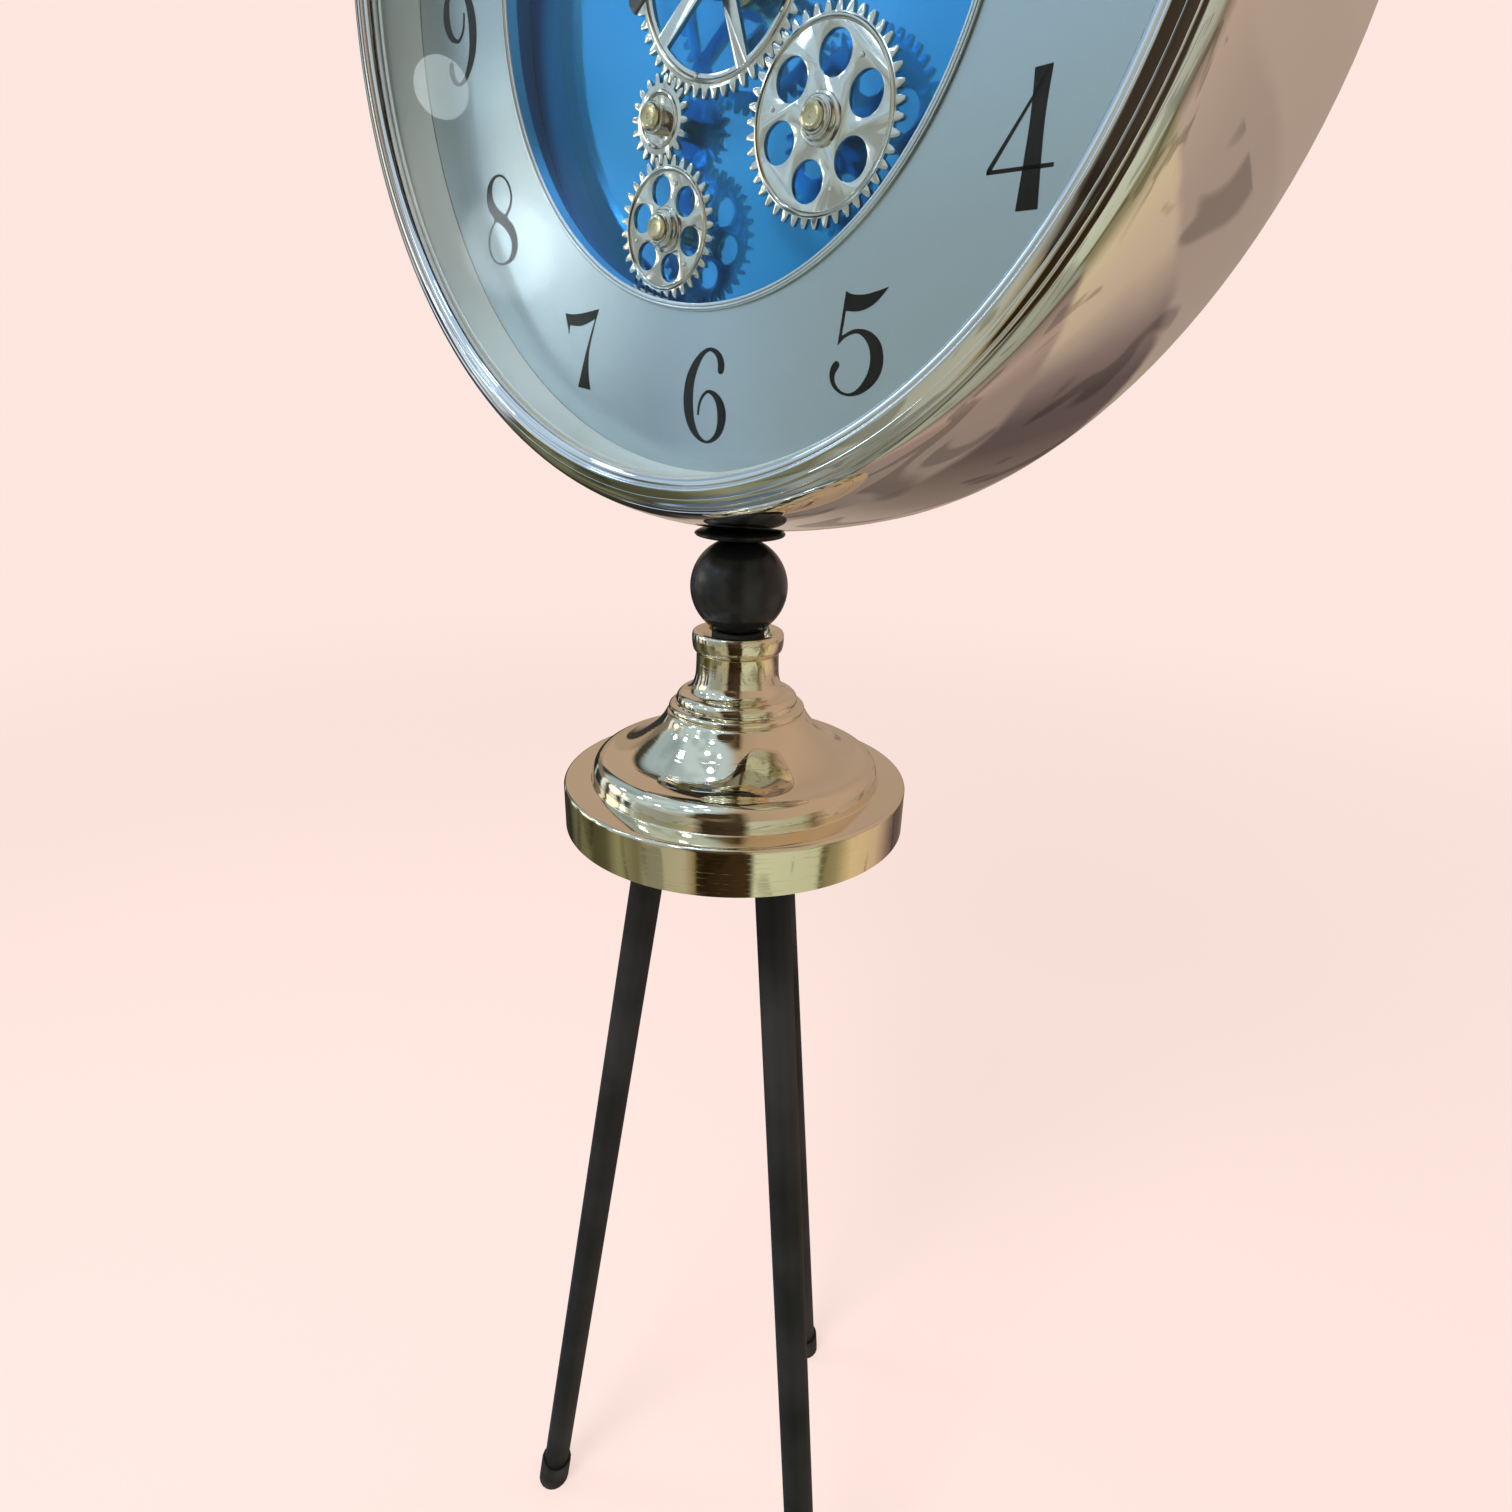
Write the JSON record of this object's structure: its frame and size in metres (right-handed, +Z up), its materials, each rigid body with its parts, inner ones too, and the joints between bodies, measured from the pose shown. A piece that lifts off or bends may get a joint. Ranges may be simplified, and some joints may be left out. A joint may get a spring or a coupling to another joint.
{
  "type": "floor clock",
  "caption": "Round floor clock on a tripod: bulged chrome case, ring dial with serif numerals, moving gears in an open centre, on a ball joint and a turned brass-finish pedestal.",
  "frame": {"origin": "middle of the footprint, on the floor", "axes": "+Z up, the dial faces -Y, +X to the right of someone who reads the dial"},
  "size_m": [0.56, 0.308, 1.5349],
  "materials": {
    "polished_case": "mirror polished",
    "champagne_plate": "polished pale gold plate",
    "satin_black": "satin black paint",
    "black_rubber": "matte",
    "plain_steel": "zinc plated",
    "dial_metal": "brushed",
    "gear_metal": "nickel plated",
    "blue_plate": "metallic blue lacquer",
    "bearing_brass": "turned",
    "clear_glass": "clear",
    "black_board": "matte",
    "black_plastic": "moulded",
    "cell_sleeve": "plain sleeve"
  },
  "bodies": {
    "clock_body": {"case_shell": "polished_case", "bezel": "polished_case", "pedestal": "champagne_plate", "rear_leg": "satin_black", "left_leg": "satin_black", "right_leg": "satin_black", "ball": "satin_black", "neck_washer": "satin_black", "saddle_pad": "satin_black", "rear_foot": "black_rubber", "left_foot": "black_rubber", "right_foot": "black_rubber", "ball_seat": "black_rubber", "glass_gasket": "black_rubber", "leg_plate": "plain_steel", "clamp_block": "plain_steel", "tie_rod": "plain_steel", "plate_nut": "plain_steel", "case_nut": "plain_steel", "gear_motor": "plain_steel", "cover_screw_1": "plain_steel", "cover_screw_2": "plain_steel", "cover_screw_3": "plain_steel", "cover_screw_4": "plain_steel", "dial_ring": "dial_metal", "window_trim": "dial_metal", "reflector_ring": "dial_metal", "back_plate": "blue_plate", "centre_bearing": "bearing_brass", "bearing_collar": "bearing_brass", "bushing_nut": "bearing_brass", "lower_post": "bearing_brass", "right_post": "bearing_brass", "upper_post": "bearing_brass", "idler_post": "bearing_brass", "front_glass": "clear_glass", "dial_carrier": "black_board", "well_ring": "black_board", "rear_cover": "black_board", "movement_case": "black_plastic", "battery_cell": "cell_sleeve"},
    "hour": {"hour_tube": "bearing_brass", "hour_hand": "satin_black"},
    "minute": {"minute_arbor": "bearing_brass", "minute_hand": "satin_black", "hand_nut": "bearing_brass"},
    "centre_gear": {"centre_wheel": "gear_metal"},
    "lower_gear": {"lower_wheel": "gear_metal"},
    "right_gear": {"right_wheel": "gear_metal"},
    "upper_gear": {"upper_wheel": "gear_metal"},
    "idler_gear": {"idler_wheel": "gear_metal"},
    "pinion": {"motor_pinion": "bearing_brass"},
    "knob": {"set_knob": "black_plastic"},
    "door": {"service_door": "black_board"}
  },
  "joints": [
    {"name": "hour_spin", "type": "hinge", "parent": "clock_body", "child": "hour", "pos_m": [0, -0.0693, 1.25493], "axis": [0, 1, 0], "continuous": true},
    {"name": "minute_spin", "type": "hinge", "parent": "clock_body", "child": "minute", "pos_m": [0, -0.0693, 1.25493], "axis": [0, 1, 0], "continuous": true},
    {"name": "centre_gear_spin", "type": "hinge", "parent": "clock_body", "child": "centre_gear", "pos_m": [0, -0.0693, 1.25493], "axis": [0, 1, 0], "continuous": true},
    {"name": "lower_gear_spin", "type": "hinge", "parent": "clock_body", "child": "lower_gear", "pos_m": [-0.03843, -0.0693, 1.14009], "axis": [0, 1, 0], "continuous": true},
    {"name": "right_gear_spin", "type": "hinge", "parent": "clock_body", "child": "right_gear", "pos_m": [0.06546, -0.0693, 1.17828], "axis": [0, 1, 0], "continuous": true},
    {"name": "upper_gear_spin", "type": "hinge", "parent": "clock_body", "child": "upper_gear", "pos_m": [0.0542, -0.0693, 1.33234], "axis": [0, 1, 0], "continuous": true},
    {"name": "idler_gear_spin", "type": "hinge", "parent": "clock_body", "child": "idler_gear", "pos_m": [-0.04253, -0.0693, 1.19243], "axis": [0, 1, 0], "continuous": true},
    {"name": "pinion_spin", "type": "hinge", "parent": "clock_body", "child": "pinion", "pos_m": [-0.05309, -0.0693, 1.29948], "axis": [0, 1, 0], "continuous": true},
    {"name": "knob_spin", "type": "hinge", "parent": "clock_body", "child": "knob", "pos_m": [0, -0.0693, 1.26593], "axis": [0, 1, 0], "continuous": true},
    {"name": "door_slide", "type": "slide", "parent": "clock_body", "child": "door", "axis": [0, 1, 0], "range_m": [0, 0.08]}
  ],
  "couplings": [
    {"joint": "hour_spin", "follows": "minute_spin", "ratio": 0.083333},
    {"joint": "knob_spin", "follows": "minute_spin", "ratio": -0.33333},
    {"joint": "lower_gear_spin", "follows": "centre_gear_spin", "ratio": 1.6875},
    {"joint": "right_gear_spin", "follows": "centre_gear_spin", "ratio": -1.2857},
    {"joint": "upper_gear_spin", "follows": "centre_gear_spin", "ratio": -1.5},
    {"joint": "idler_gear_spin", "follows": "centre_gear_spin", "ratio": -3},
    {"joint": "pinion_spin", "follows": "centre_gear_spin", "ratio": -4.5}
  ]
}
